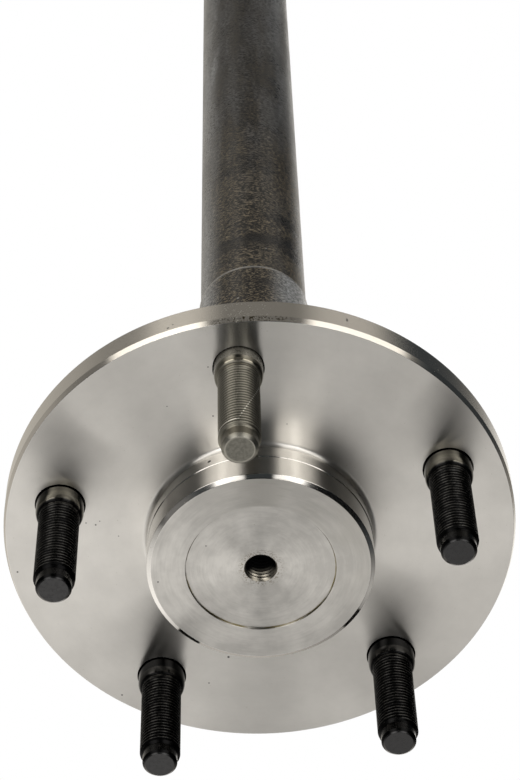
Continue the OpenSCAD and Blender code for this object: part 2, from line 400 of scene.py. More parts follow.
def toothed_tree():
    """Repeats the outline of one tooth round the axis and draws the ring out to a length."""
    tree, given, out = new_group(
        "toothed",
        "GeometryNodeTree",
        [
            ("Tooth", GEOMETRY, None),
            ("Teeth", INT, 31),
            ("Length", FLOAT, 10.0),
            ("Material", MATERIAL, None),
        ],
        [("Geometry", GEOMETRY)],
    )
    count = add(tree, "GeometryNodeAttributeDomainSize", {0: given["Tooth"]}).outputs["Point Count"]
    corners = product(tree, count, given["Teeth"])
    ring = add(tree, "GeometryNodeMeshCircle", {"Vertices": corners}, fill_type="NGON").outputs[0]
    index = add(tree, "GeometryNodeInputIndex").outputs[0]
    tooth = calc(tree, "FLOOR", calc(tree, "DIVIDE", calc(tree, "ADD", index, 0.5), count))
    corner = add(
        tree,
        "GeometryNodeSampleIndex",
        {
            "Geometry": given["Tooth"],
            "Value": add(tree, "GeometryNodeInputPosition").outputs[0],
            "Index": calc(tree, "SUBTRACT", index, product(tree, tooth, count)),
        },
        data_type="FLOAT_VECTOR",
        domain="POINT",
    ).outputs[0]
    turn = calc(tree, "DIVIDE", product(tree, tooth, math.tau), given["Teeth"])
    turned = add(
        tree, "ShaderNodeVectorRotate", {"Vector": corner, "Angle": turn}, rotation_type="Z_AXIS"
    ).outputs[0]
    base = add(tree, "GeometryNodeSetPosition", {"Geometry": ring, "Position": turned}).outputs[0]
    along = add(tree, "ShaderNodeCombineXYZ", {2: product(tree, given["Length"], MM)}).outputs[0]
    drawn = add(
        tree, "GeometryNodeExtrudeMesh", {"Mesh": base, "Offset": along, "Offset Scale": 1.0}, mode="FACES"
    )
    foot = add(tree, "GeometryNodeFlipFaces", {"Mesh": base}).outputs[0]
    joined = add(tree, "GeometryNodeJoinGeometry").inputs[0]
    tree.links.new(drawn.outputs["Mesh"], joined)
    tree.links.new(foot, joined)
    tree.links.new(finish_tree(tree, joined.node.outputs[0], given["Material"]), out["Geometry"])
    return tree


def grown(tree, base_mesh, **sizes):
    """The plain mesh that a tree makes of a base mesh."""
    holder = as_object("holder", base_mesh)
    modifier = holder.modifiers.new(tree.name, "NODES")
    modifier.node_group = tree
    wanted = {label.replace("_", " ").lower(): value for label, value in sizes.items()}
    for item in tree.interface.items_tree:
        label = item.name.lower()
        if item.in_out == "INPUT" and label in wanted:
            modifier[item.identifier] = wanted.pop(label)
    if wanted:
        raise ValueError(f"{tree.name} has no input named {sorted(wanted)}")
    evaluated = holder.evaluated_get(bpy.context.evaluated_depsgraph_get())
    made = bpy.data.meshes.new_from_object(evaluated)
    bpy.data.objects.remove(holder)
    bpy.data.meshes.remove(base_mesh)
    return made


# Turned outlines

def eased(corners):
    """Rounds each corner (radius, height, rounding) and keeps the straight runs between them straight."""
    outline = []
    for i, (r, z, *rounding) in enumerate(corners):
        here, size = Vector((r, z)), rounding[0] if rounding else 0
        if not size:
            outline.append(here)
            continue
        back = (Vector(corners[i - 1][:2]) - here).normalized()
        ahead = (Vector(corners[i + 1][:2]) - here).normalized()
        half = back.angle(ahead) / 2
        reach = size / math.tan(half)
        centre = here + (back + ahead).normalized() * size / math.sin(half)
        steps = ROUND_STEPS if size > 1 else EDGE_STEPS
        start, end = (here + way * reach - centre for way in (back, ahead))
        outline.append(here + back * (reach * LEAD_IN))
        start, end = start.normalized(), end.normalized()
        outline += [centre + start.slerp(end, k / steps) * size for k in range(steps + 1)]
        outline.append(here + ahead * (reach * LEAD_IN))
    return [(p.x, p.y) for p in outline]


def outline_mesh(outline, serrated=()):
    """A line of points (radius, height), with the serrations' depth on the rows that have them."""
    mesh = bpy.data.meshes.new("outline")
    mesh.from_pydata([(r, 0, z) for r, z in outline], [(i, i + 1) for i in range(len(outline) - 1)], [])
    depth = mesh.attributes.new("serration", "FLOAT", "POINT")
    for row, amount in serrated:
        depth.data[row].value = amount
    return mesh


def turned(tree, outline, segments, serrated=()):
    return grown(tree, outline_mesh(outline, serrated), segments=segments)


def forging_outline():
    runout = [
        (SPLINE_CORE_R + CUTTER_R - math.sqrt(CUTTER_R**2 - x**2), SPLINE_START - x)
        for x in (RUNOUT * (1 - i / CURVE_STEPS) for i in range(1, CURVE_STEPS + 1))
    ]
    return (
        eased(
            [
                (0, BORE_END + DRILL_POINT * BORE_R),
                (BORE_R, BORE_END),
                (BORE_R, RECESS_FLOOR + BORE_CHAMFER),
                (BORE_R + BORE_CHAMFER, RECESS_FLOOR),
                (RECESS_R, RECESS_FLOOR, EDGE),
                (RECESS_R, BOSS_END, FINE_EDGE),
                (PILOT_R - BOSS_CHAMFER_W, BOSS_END, EDGE),
                (PILOT_R, BOSS_END + BOSS_CHAMFER_H, EDGE),
                (PILOT_R, ROTOR_PILOT_END - ROTOR_PILOT_R + PILOT_R, STEP_FOOT_EDGE),
                (ROTOR_PILOT_R, ROTOR_PILOT_END, STEP_TOP_EDGE),
                (ROTOR_PILOT_R, WHEEL_FACE, FACE_FILLET),
                (FLANGE_R - RIM_CHAMFER_W, WHEEL_FACE, FINE_EDGE),
                (FLANGE_R, WHEEL_FACE + RIM_CHAMFER_H, RIM_EDGE),
                (FLANGE_R, FLANGE_BACK - RIM_BACK_CHAMFER, FINE_EDGE),
                (FLANGE_R - RIM_BACK_CHAMFER, FLANGE_BACK, FINE_EDGE),
                (HUB_R, FLANGE_BACK, HUB_FILLET),
                (HUB_R, HUB_END, HUB_EDGE),
                (JOURNAL_R, HUB_END, JOURNAL_FILLET),
                (JOURNAL_R, JOURNAL_END, KEEN_EDGE),
                (LAND_R, JOURNAL_END + LAND_STEP, KEEN_EDGE),
                (LAND_R, LAND_END, LAND_EDGE),
                (BAR_OUTER_R, LAND_END + LAND_CHAMFER, EDGE),
                (BAR_INNER_R, BAR_END, NECK_FILLET),
                (BLANK_R, NECK_END, BLANK_EDGE),
                (BLANK_R, BLANK_END),
            ]
        )
        + runout
        + eased(
            [
                (SPLINE_CORE_R, SPLINE_END),
                (GROOVE_R, SPLINE_END, GROOVE_FILLET),
                (GROOVE_R, GROOVE_END, GROOVE_FILLET),
                (BUTTON_R, GROOVE_END, EDGE),
                (BUTTON_R, SHAFT_END - BUTTON_CHAMFER, EDGE),
                (BUTTON_R - BUTTON_CHAMFER, SHAFT_END, EDGE),
                (CENTRE_MOUTH_R, SHAFT_END, CENTRE_EDGE),
                (CENTRE_DRILL_R, SHAFT_END - (CENTRE_MOUTH_R - CENTRE_DRILL_R) / math.tan(CENTRE_ANGLE)),
                (CENTRE_DRILL_R, SHAFT_END - CENTRE_DEPTH),
                (0, SHAFT_END - CENTRE_DEPTH - DRILL_POINT * CENTRE_DRILL_R),
            ]
        )
    )


def stud_outline_below():
    """From the middle of the tip to the start of the thread."""
    return eased(
        [
            (0, 0),
            (TIP_EDGE_R - 0.6, 0),
            (TIP_EDGE_R, 0, FINE_EDGE),
            (LEAD_R, TIP_CHAMFER, FINE_EDGE),
            (LEAD_R, LEAD_END),
        ]
    )


def stud_outline_above():
    """From the end of the thread over shoulder, collar, serrated shank and head."""
    shoulder = [
        (STUD_R + (COLLAR_R - STUD_R) * math.sin(a), COLLAR_END - (COLLAR_END - SHOULDER_END) * math.cos(a))
        for a in (math.pi / 2 * i / CURVE_STEPS for i in range(CURVE_STEPS + 1))
    ]
    shank = [(SHANK_R, WHEEL_FACE + SERRATION_LEAD), (SHANK_R, FLANGE_BACK)]
    head = eased(
        [
            (STUD_HEAD_R, FLANGE_BACK),
            (STUD_HEAD_R, STUD_HEAD_END - HEAD_CHAMFER, HEAD_EDGE),
            (STUD_HEAD_R - HEAD_CHAMFER, STUD_HEAD_END, HEAD_EDGE),
            (0, STUD_HEAD_END),
        ]
    )
    step = [(COLLAR_R, WHEEL_FACE), (SHANK_R, WHEEL_FACE), (SHANK_R, WHEEL_FACE + SERRATION_LEAD)]
    before = shoulder + step
    serrated = [(len(before), STUD_HOLE_R - SHANK_R), (len(before) + 1, STUD_HOLE_R - SHANK_R)]
    return before + shank + [(SHANK_R, FLANGE_BACK)] + head, serrated


def tooth_outline():
    """One involute spline tooth, from root to root."""
    base_r = SPLINE_PITCH_R * math.cos(SPLINE_PRESSURE_ANGLE)

    def involute(angle):
        return math.tan(angle) - angle

    def half_angle(r):
        return math.pi / 2 / SPLINE_TEETH + involute(SPLINE_PRESSURE_ANGLE) - involute(math.acos(base_r / r))

    radii = [SPLINE_ROOT_R + (SPLINE_TIP_R - SPLINE_ROOT_R) * i / 5 for i in range(6)]
    corners = [(r, -half_angle(r)) for r in radii] + [(r, half_angle(r)) for r in reversed(radii)]
    mesh = bpy.data.meshes.new("tooth")
    mesh.from_pydata(
        [(r * MM * math.cos(a), r * MM * math.sin(a), BLANK_END * MM) for r, a in corners], [], []
    )
    return mesh


# Making the pieces

def as_object(name, data):
    made = bpy.data.objects.new(name, data)
    data.name = name
    bpy.context.scene.collection.objects.link(made)
    return made


def combined(mesh, operation, other):
    """A mesh cut by, joined to or kept inside another."""
    holder, tool = as_object("holder", mesh), as_object("tool", other)
    cut = holder.modifiers.new(operation, "BOOLEAN")
    cut.operation, cut.object, cut.solver = operation, tool, "MANIFOLD"
    made = bpy.data.meshes.new_from_object(holder.evaluated_get(bpy.context.evaluated_depsgraph_get()))
    for used in (holder, tool):
        old = used.data
        bpy.data.objects.remove(used)
        bpy.data.meshes.remove(old)
    return made


def gathered(meshes):
    """Several meshes as one."""
    whole = bmesh.new()
    for mesh in meshes:
        whole.from_mesh(mesh)
        bpy.data.meshes.remove(mesh)
    made = bpy.data.meshes.new("gathered")
    whole.to_mesh(made)
    whole.free()
    return made


def placed_copy(mesh, place):
    copy = mesh.copy()
    copy.transform(place)
    return copy


def stud_place(k):
    angle = math.radians(-90 + 360 * k / STUD_COUNT)
    return Matrix.Rotation(angle, 4, "Z") @ Matrix.Translation((BOLT_CIRCLE_R * MM, 0, 0))


STUD_AXES = [stud_place(k).to_translation() / MM for k in range(STUD_COUNT)]


def shaded(mesh, materials, choose=None):
    """Gives each face its finish, keeps crisp edges sharp and shades the rest smooth."""
    mesh.polygons.foreach_set("use_smooth", [abs(face.normal.z) < 0.99999 for face in mesh.polygons])
    mesh.set_sharp_from_angle(angle=SHARP_ANGLE)
    mesh.materials.clear()
    for material in materials:
        mesh.materials.append(material)
    mesh.polygons.foreach_set("material_index", [choose(face) if choose else 0 for face in mesh.polygons])
    return mesh


TURNED, POLISHED, FACED, FORGED, DARK = range(5)


def forging_finish(face):
    """The number of a face's finish in the forging's list of materials."""
    x, y, z = face.center / MM
    r = math.hypot(x, y)
    flat = abs(face.normal.z) > 0.999
    if JOURNAL_END < z < NECK_END:
        return FORGED
    if r < TAP_R + CLEAR and RECESS_FLOOR + CLEAR / 2 < z < BORE_END + TAP_R:
        return DARK
    if z < BOSS_END + 1 and (flat or r < RECESS_R + 0.2):
        return FACED
    if flat or WHEEL_FACE - FACE_FILLET < z < WHEEL_FACE and r < ROTOR_PILOT_R + FACE_FILLET + CLEAR:
        return TURNED
    if z < WHEEL_FACE or r > FLANGE_R - RIM_CHAMFER_W - CLEAR:
        return POLISHED
    if z < FLANGE_BACK + 0.01:
        from_stud = min(math.hypot(x - axis.x, y - axis.y) for axis in STUD_AXES)
        if from_stud < STUD_HOLE_R + STUD_HOLE_CHAMFER + CLEAR:
            return DARK
    return TURNED


def make_forging(turn, thread, teeth, materials):
    body = turned(turn, forging_outline(), TURNED_SEGMENTS)
    envelope_r = SPLINE_TIP_R + 1
    envelope = turned(
        turn,
        [
            (0, BLANK_END - 1),
            (envelope_r, BLANK_END - 1),
            (envelope_r, SPLINE_END - TOOTH_CHAMFER - 1),
            (envelope_r - TOOTH_CHAMFER - 1, SPLINE_END),
            (0, SPLINE_END),
        ],
        TURNED_SEGMENTS,
    )
    splines = grown(teeth, tooth_outline(), teeth=SPLINE_TEETH, length=SPLINE_END - BLANK_END + 1)
    body = combined(body, "UNION", combined(splines, "INTERSECT", envelope))
    mouth_r = STUD_HOLE_R + STUD_HOLE_CHAMFER + 1
    hole = turned(
        turn,
        [
            (0, WHEEL_FACE - 1),
            (mouth_r, WHEEL_FACE - 1),
            (STUD_HOLE_R, WHEEL_FACE + STUD_HOLE_CHAMFER),
            (STUD_HOLE_R, FLANGE_BACK + 1),
            (0, FLANGE_BACK + 1),
        ],
        HOLE_SEGMENTS,
    )
    holes = gathered([placed_copy(hole, stud_place(k)) for k in range(STUD_COUNT)])
    bpy.data.meshes.remove(hole)
    body = combined(body, "DIFFERENCE", holes)
    near = turned(turn, [(0, TAP_START), (TAP_START_R, TAP_START)], TAP_SEGMENTS)
    far = turned(turn, [(TAP_R, TAP_END), (0, TAP_END)], TAP_SEGMENTS)
    tap = grown(
        thread,
        gathered([near, far]),
        major_radius=TAP_R,
        depth=TAP_R - BORE_R,
        pitch=TAP_PITCH,
        start=TAP_START,
        end=TAP_END,
        start_radius=TAP_START_R,
        run_out=TAP_RUN_OUT,
        segments=TAP_SEGMENTS,
    )
    body = combined(body, "DIFFERENCE", tap)
    return as_object("axle_forging", shaded(body, materials, forging_finish))


def make_stud_mesh(turn, thread, material):
    below = turned(turn, stud_outline_below(), STUD_SEGMENTS)
    outline, serrated = stud_outline_above()
    above = turned(turn, outline, STUD_SEGMENTS, serrated=serrated)
    stud = grown(
        thread,
        gathered([below, above]),
        major_radius=STUD_R,
        depth=THREAD_DEPTH * STUD_PITCH,
        pitch=STUD_PITCH,
        start=LEAD_END,
        end=SHOULDER_END,
        start_radius=LEAD_R,
        run_out=STUD_RUN_OUT,
        segments=STUD_SEGMENTS,
    )
    # Painted highlight: marks a ring round the tip's edge, which the stud's material makes lighter.
    highlight_ring = stud.attributes.new("worn_edge", "FLOAT", "POINT")
    for point, mark in zip(stud.vertices, highlight_ring.data):
        from_axis = math.hypot(point.co.x, point.co.y) / MM
        mark.value = point.co.z < TIP_HIGHLIGHT_WIDTH * MM and from_axis > TIP_EDGE_R - TIP_HIGHLIGHT_WIDTH
    return shaded(stud, [material])


# Finishes, with colours in linear light

DULL_STEEL, BRIGHT_STEEL = (0.53, 0.514, 0.486), (0.70, 0.679, 0.642)
DARK_CORNER_TONE, BROWN_CORNER_TONE = (0.07, 0.058, 0.036), (0.20, 0.165, 0.07)
HOLE_DIRT = (0.22, 0.19, 0.14)
RIM_DIRT = (0.14, 0.115, 0.07)
END_SHADE_AND_FILM = (0.24, 0.228, 0.20)
SPECK = (0.02, 0.018, 0.016)
DUST = (0.42, 0.40, 0.34)
DARK_SCALE, LIGHT_SCALE = (0.004, 0.004, 0.0045), (0.011, 0.0105, 0.0095)
RUST = (0.245, 0.195, 0.125)
SCUFFED_SCALE = (0.120, 0.122, 0.128)
BAR_SHEEN_AND_HAZE, LAND_SHEEN_AND_HAZE = (0.38, 0.38, 0.375), (0.46, 0.46, 0.45)
RUBBED_SCALE = (0.085, 0.084, 0.080)
BARE_STEEL = (0.40, 0.39, 0.37)
HOLE_DULL, HOLE_BRIGHT, HOLE_SHADE = (0.18, 0.165, 0.135), (0.42, 0.39, 0.33), (0.006, 0.006, 0.006)
DEEP_BLACK, LIGHT_BLACK = (0.004, 0.004, 0.0046), (0.011, 0.0108, 0.0104)
BLACK_TIP = (0.050, 0.0495, 0.050)
DARK_OLIVE, LIGHT_OLIVE = (0.19, 0.18, 0.15), (0.27, 0.255, 0.21)
OLIVE_SHADED_BY_FLANGE = (0.150, 0.142, 0.117)
DARK_TIP, LIGHT_TIP = (0.15, 0.145, 0.125), (0.20, 0.192, 0.165)
TIP_HIGHLIGHT = (0.36, 0.345, 0.30)
SHADED_GROOVE, LIT_OLIVE_CREST = (0.026, 0.024, 0.020), (0.22, 0.207, 0.17)
SHADED_FLANK = (0.012, 0.012, 0.012)
BLACK_GLEAM, OLIVE_GLEAM = (0.055, 0.054, 0.052), (0.27, 0.257, 0.216)
RUBBED_LIT_BLACK, RUBBED_LIT_OLIVE = (0.070, 0.068, 0.063), (0.25, 0.237, 0.197)
SCRATCH = (0.75, 0.72, 0.64)
RUBBED_PATCH = (365, 450)


def shaft_place(tree):
    """Radius, height and turn about the shaft's axis, in millimetres and radians."""
    place = add(tree, "ShaderNodeTexCoord").outputs["Object"]
    x, y, z = add(tree, "ShaderNodeSeparateXYZ", {0: place}).outputs
    radius = calc(tree, "SQRT", calc(tree, "ADD", product(tree, x, x), product(tree, y, y)))
    return (
        place,
        product(tree, radius, 1 / MM),
        product(tree, z, 1 / MM),
        calc(tree, "ARCTAN2", y, x),
    )


def noise(tree, vector, scale, detail=2.0, roughness=0.5):
    return add(
        tree,
        "ShaderNodeTexNoise",
        {"Vector": vector, "Scale": scale, "Detail": detail, "Roughness": roughness},
    ).outputs[0]


def turning_marks_group():
    """Fine tool lines that run round the axis, as a height from 0 to 1."""
    tree, given, out = new_group(
        "turning marks",
        "ShaderNodeTree",
        [("Lines per mm", FLOAT, 4.0), ("Drift", FLOAT, 0.5)],
        [("Height", FLOAT)],
    )
    _, radius, height, turn = shaft_place(tree)
    feed = product(tree, calc(tree, "ADD", radius, height), given["Lines per mm"])
    drift_x = product(tree, calc(tree, "COSINE", turn), given["Drift"])
    drift_y = product(tree, calc(tree, "SINE", turn), given["Drift"])
    lines = add(tree, "ShaderNodeCombineXYZ", {0: feed, 1: drift_x, 2: drift_y}).outputs[0]
    tree.links.new(noise(tree, lines, 1.0, 3.0, 0.6), out["Height"])
    return tree


def mixed(tree, factor, first, second):
    made = add(tree, "ShaderNodeMix", {"Factor": factor}, data_type="RGBA")
    for key, value in ((6, first), (7, second)):
        if isinstance(value, bpy.types.NodeSocket):
            tree.links.new(value, made.inputs[key])
        else:
            made.inputs[key].default_value = (*value, 1)
    return made.outputs[2]


def new_material(name):
    material = bpy.data.materials.new(name)
    material.use_nodes = True
    return material, material.node_tree, material.node_tree.nodes["Principled BSDF"]


def between(tree, value, low, high, soft):
    """A soft-edged mask of a stretch of values."""
    rise = ramp(tree, value, low - soft, low + soft)
    return product(tree, rise, ramp(tree, value, high - soft, high + soft, 1, 0))


def sector(tree, turn, low, high, soft):
    """A soft-edged mask between two angles in degrees."""
    return between(tree, turn, math.radians(low), math.radians(high), soft)


def blended(tree, factor, first, second):
    """A number between two numbers."""
    return add(tree, "ShaderNodeMix", {"Factor": factor, 2: first, 3: second}, data_type="FLOAT").outputs[0]


def most(tree, values):
    """The largest of several masks."""
    found = values[0]
    for value in values[1:]:
        found = calc(tree, "MAXIMUM", found, value)
    return found


def spots(tree, place, marks):
    """A mask of small marks, each a place and a radius in millimetres."""
    masks = []
    for middle, size in marks:
        away = add(
            tree, "ShaderNodeVectorMath", {0: place, 1: middle * MM}, operation="DISTANCE"
        ).outputs["Value"]
        masks.append(ramp(tree, away, size * 0.5 * MM, size * MM, 1, 0))
    return most(tree, masks)


def tool_lines(tree, marks, lines_per_mm, drift):
    made = add(tree, "ShaderNodeGroup", node_tree=marks)
    made.inputs["Lines per mm"].default_value = lines_per_mm
    made.inputs["Drift"].default_value = drift
    return made.outputs["Height"]


def join(tree, socket, output):
    tree.links.new(output, socket)


def raise_surface(tree, skin, relief):
    """Bumps by a height in millimetres."""
    bump = add(tree, "ShaderNodeBump", {"Strength": 1.0, "Distance": MM, "Height": relief})
    join(tree, skin.inputs["Normal"], bump.outputs[0])


# Marks read from the photograph: column, row, and the mark's own radius in millimetres
FACE_SPECKS = [
    (228.5, 657, 0.55),
    (209, 683, 0.35),
    (17.5, 572, 0.4),
    (86, 523, 0.3),
    (213, 416, 0.35),
    (167, 406.4, 0.25),
    (122, 695, 0.4),
    (287, 424, 0.25),
    (208, 367, 0.3),
]
RIM_SPECK = (168, 328, 0.5)
RIM_TICK = (347, 320, 0.5)
WALL_SPECK = (209.5, 462, 0.85)
END_SPECK = (158, 582, 0.35)
RECESS_SPECK = (206, 546, 0.3)
LAND_TICKS = [(211.3, 282, 0.75), (210, 285.5, 0.6), (238, 298, 0.6)]
BAR_TICK = (266, 248.6, 0.45)
BAR_TICK_R = BAR_OUTER_R - 0.1

# Marks given in millimetres
RIM_TICK_HALF = 0.5
SMALL_SPECKS = [
    (-55.5, -12.0, WHEEL_FACE, 0.35),
    (-53.9, -13.4, WHEEL_FACE, 0.25),
    (-48.3, -6.4, WHEEL_FACE, 0.25),
    (-20.0, -86.1, WHEEL_FACE + 4.8, 0.35),
]


def marks_on(find, level, *marks):
    """Marks as (place, radius), found on a level face or a round wall."""
    return [(find(column, row, level), size) for column, row, size in marks]


def steel_specks():
    """The specks on face, rim and boss. The rim's tick is two specks, one above the other."""
    (tick, size), = marks_on(on_round, FLANGE_R, RIM_TICK)
    return (
        marks_on(on_level, WHEEL_FACE, *FACE_SPECKS)
        + marks_on(on_round, FLANGE_R, RIM_SPECK)
        + [(tick + Vector((0, 0, shift)), size) for shift in (RIM_TICK_HALF, -RIM_TICK_HALF)]
        + marks_on(on_round, PILOT_R, WALL_SPECK)
        + marks_on(on_level, BOSS_END, END_SPECK)
        + marks_on(on_level, RECESS_FLOOR, RECESS_SPECK)
        + [(Vector((x, y, z)), size) for x, y, z, size in SMALL_SPECKS]
    )


def turned_steel(name, marks, spread, roughness, wall_roughness, lines, smudges, arcs, tone=1.0):
    """Lathe-turned bright steel. Its gloss spreads across the tool lines."""
    material, tree, skin = new_material(name)
    place, radius, height, turn = shaft_place(tree)
    fine = tool_lines(tree, marks, 5.0, 0.6)
    broad = tool_lines(tree, marks, 1.6, 2.2)
    arc = tool_lines(tree, marks, 0.3, 3.0)
    smudge = noise(tree, place, 55.0, 4.0, 0.58)

    uneven = 0.5
    for mark, amount in ((broad, lines), (smudge, smudges), (arc, arcs)):
        uneven = calc(tree, "MULTIPLY_ADD", calc(tree, "SUBTRACT", mark, 0.5), amount, uneven)
    uneven = ramp(tree, uneven, 0, 1, smooth=False)
    dull, bright = ([tone * part for part in colour] for colour in (DULL_STEEL, BRIGHT_STEEL))
    steel = mixed(tree, uneven, dull, bright)
    # Darker and browner in patches along the recess's inner corner, dark on one side and brown on the other.
    corner = product(
        tree,
        between(tree, radius, RECESS_R - 0.35, RECESS_R + 0.03, 0.1),
        between(tree, height, BOSS_END + 0.25, BOSS_END + 1, 0.1),
    )
    corner_tone = product(tree, corner, ramp(tree, noise(tree, place, 130.0, 2.0), 0.3, 0.6))
    corner_colour = mixed(tree, ramp(tree, turn, -0.4, 0.2), DARK_CORNER_TONE, BROWN_CORNER_TONE)
    steel = mixed(tree, corner_tone, steel, corner_colour)
    by_hole = product(
        tree,
        ramp(tree, radius, BORE_R + 0.4, BORE_R + 4.0, 0.8, 0),
        ramp(tree, noise(tree, place, 1700.0, 1.0), 0.52, 0.64),
    )
    steel = mixed(tree, by_hole, steel, HOLE_DIRT)
    on_chamfer = product(
        tree,
        between(tree, height, WHEEL_FACE + 0.2, WHEEL_FACE + RIM_CHAMFER_H, 0.1),
        ramp(tree, radius, FLANGE_R - 1, FLANGE_R - 0.9),
    )
    by_first_stud = sector(tree, turn, -93, -78, 0.06)
    dirt = product(tree, on_chamfer, by_first_stud, ramp(tree, noise(tree, place, 1300.0, 2.0), 0.50, 0.62))
    steel = mixed(tree, dirt, steel, RIM_DIRT)
    # Painted shade with smudges: the end ring is darker on its upper and right side, more where smudged.
    on_end_ring = product(
        tree,
        ramp(tree, radius, RECESS_R, RECESS_R + 1),
        ramp(tree, height, BOSS_END + 0.1, BOSS_END + 0.3, 1, 0),
    )
    upper_right = sector(tree, turn, -110, 25, 0.5)
    shade_and_film = product(tree, on_end_ring, upper_right, ramp(tree, smudge, 0.35, 0.65, 0.12, 0.45))
    steel = mixed(tree, shade_and_film, steel, END_SHADE_AND_FILM)
    speck = spots(tree, place, steel_specks())
    steel = mixed(tree, speck, steel, SPECK)
    by_rim = product(
        tree,
        sector(tree, turn, -97, -82, 0.05),
        ramp(tree, radius, FLANGE_R - 11, FLANGE_R - 2),
    )
    dust = ramp(tree, calc(tree, "MULTIPLY_ADD", by_rim, 0.11, noise(tree, place, 1500.0, 1.0)), 0.76, 0.80)
    steel = mixed(tree, dust, steel, DUST)
    join(tree, skin.inputs["Base Color"], steel)

    rough = ramp(tree, height, WHEEL_FACE - 0.05, WHEEL_FACE, wall_roughness, roughness)
    rough = calc(tree, "MULTIPLY_ADD", calc(tree, "SUBTRACT", fine, 0.5), roughness * 0.05, rough)
    join(tree, skin.inputs["Roughness"], rough)
    join(tree, skin.inputs["Metallic"], ramp(tree, most(tree, [dust, speck]), 0, 1, 1, 0.2))
    skin.inputs["Anisotropic"].default_value = spread
    skin.inputs["Anisotropic Rotation"].default_value = 0.25
    tangent = add(tree, "ShaderNodeTangent", direction_type="RADIAL", axis="Z")
    join(tree, skin.inputs["Tangent"], tangent.outputs[0])

    relief = calc(tree, "MULTIPLY_ADD", broad, 0.002 * lines, product(tree, fine, 0.00006))
    raise_surface(tree, skin, relief)
    return material


def forge_scale():
    """Dark scale with olive-brown rust in its grain, rubbed bright at the edge of the land, and lighter on
    set sides as painted sheen with smears.
    """
    material, tree, skin = new_material("forge_scale")
    place, _, height, turn = shaft_place(tree)
    round_place = add(tree, "ShaderNodeMapping", {"Vector": place, "Scale": (0.4, 0.4, 1)}).outputs[0]
    long_place = add(tree, "ShaderNodeMapping", {"Vector": place, "Scale": (1, 1, 0.22)}).outputs[0]
    grain = noise(tree, round_place, 1900.0, 3.0, 0.65)
    patch = noise(tree, round_place, 60.0, 5.0, 0.62)
    streak = noise(tree, long_place, 75.0, 4.0, 0.6)
    land = ramp(tree, height, LAND_END - 0.6, LAND_END - 0.2, 1, 0)

    rub = product(tree, ramp(tree, streak, 0.58, 0.72), ramp(tree, grain, 0.40, 0.60))
    rusty = product(tree, ramp(tree, grain, 0.50, 0.60), ramp(tree, patch, 0.30, 0.54))
    rusty = product(tree, rusty, ramp(tree, height, LAND_END + 20, LAND_END + 180, 1, 0.25))
    # Painted sheen with real smears: the scale is lighter on set sides of the bar and the land, more along
    # the streaks.
    worn_and_lit_side = sector(tree, turn, -178, -133, 0.3)
    land_side = product(tree, land, sector(tree, turn, -58, -8, 0.25))
    far_up = ramp(tree, height, LAND_END + 90, LAND_END + 250, 0, 0.8)
    far_side = product(tree, far_up, sector(tree, turn, -50, -8, 0.25))
    worn_and_lit_side = most(tree, [worn_and_lit_side, land_side, far_side])
    sheen_and_haze = product(tree, worn_and_lit_side, ramp(tree, streak, 0.30, 0.70, 0.35, 1.0))
    sheen_and_haze = most(tree, [sheen_and_haze, product(tree, land, worn_and_lit_side)])
    rubbed_patch = product(
        tree,
        sector(tree, turn, -142, -127, 0.1),
        between(tree, height, *RUBBED_PATCH, 30),
    )
    sheen_and_haze = most(tree, [sheen_and_haze, product(tree, rubbed_patch, ramp(tree, streak, 0.42, 0.62))])
    sheen_and_haze = product(tree, sheen_and_haze, ramp(tree, grain, 0.38, 0.62, 0.30, 1.0))
    scale = mixed(tree, ramp(tree, patch, 0.35, 0.65), DARK_SCALE, LIGHT_SCALE)
    scale = mixed(tree, rusty, scale, RUST)
    up_bar = ramp(tree, height, LAND_END + 20, LAND_END + 150, 0.2, 0.7)
    scuff = product(tree, ramp(tree, streak, 0.42, 0.62), ramp(tree, grain, 0.46, 0.58), up_bar)
    scale = mixed(tree, scuff, scale, SCUFFED_SCALE)
    scale = mixed(tree, sheen_and_haze, scale, mixed(tree, land, BAR_SHEEN_AND_HAZE, LAND_SHEEN_AND_HAZE))
    scale = mixed(tree, rub, scale, RUBBED_SCALE)
    edge = between(tree, height, LAND_END - 1.1, LAND_END + 0.3, 0.4)
    ticks = marks_on(on_round, LAND_R, *LAND_TICKS) + marks_on(on_round, BAR_TICK_R, BAR_TICK)
    bare = most(tree, [edge, spots(tree, place, ticks)])
    scale = mixed(tree, bare, scale, BARE_STEEL)
    join(tree, skin.inputs["Base Color"], scale)
    rough = ramp(tree, patch, 0.3, 0.7, 0.28, 0.36)
    rough = calc(tree, "MULTIPLY_ADD", calc(tree, "SUBTRACT", grain, 0.5), 0.3, rough)
    join(tree, skin.inputs["Roughness"], blended(tree, land, rough, 0.25))
    join(tree, skin.inputs["Metallic"], product(tree, bare, 0.6))
    skin.inputs["IOR"].default_value = 1.50
    relief = calc(tree, "MULTIPLY_ADD", grain, 0.10, product(tree, patch, 0.15))
    raise_surface(tree, skin, relief)
    return material


def tapped_hole():
    """Steel with painted shade: darker and duller down the hole, with the painted shade starting deeper on
    its lit side.
    """
    material, tree, skin = new_material("tapped_hole")
    place, _, height, turn = shaft_place(tree)
    # Painted shade: the colour darkens with depth, starting deeper on the lit side.
    lit_side = sector(tree, turn, 38, 142, 0.35)
    level = calc(tree, "MULTIPLY_ADD", lit_side, -4.5, height)
    hole_shade = ramp(tree, level, RECESS_FLOOR - 2.0, RECESS_FLOOR + 3.0)
    bright = mixed(tree, noise(tree, place, 300.0, 3.0), HOLE_DULL, HOLE_BRIGHT)
    join(tree, skin.inputs["Base Color"], mixed(tree, hole_shade, bright, HOLE_SHADE))
    join(tree, skin.inputs["Roughness"], ramp(tree, hole_shade, 0, 1, 0.28, 0.6))
    skin.inputs["Metallic"].default_value = 1.0
    return material


SCRATCH_START, SCRATCH_END = (-88.4, 7.0), (-15.3, 31.9)


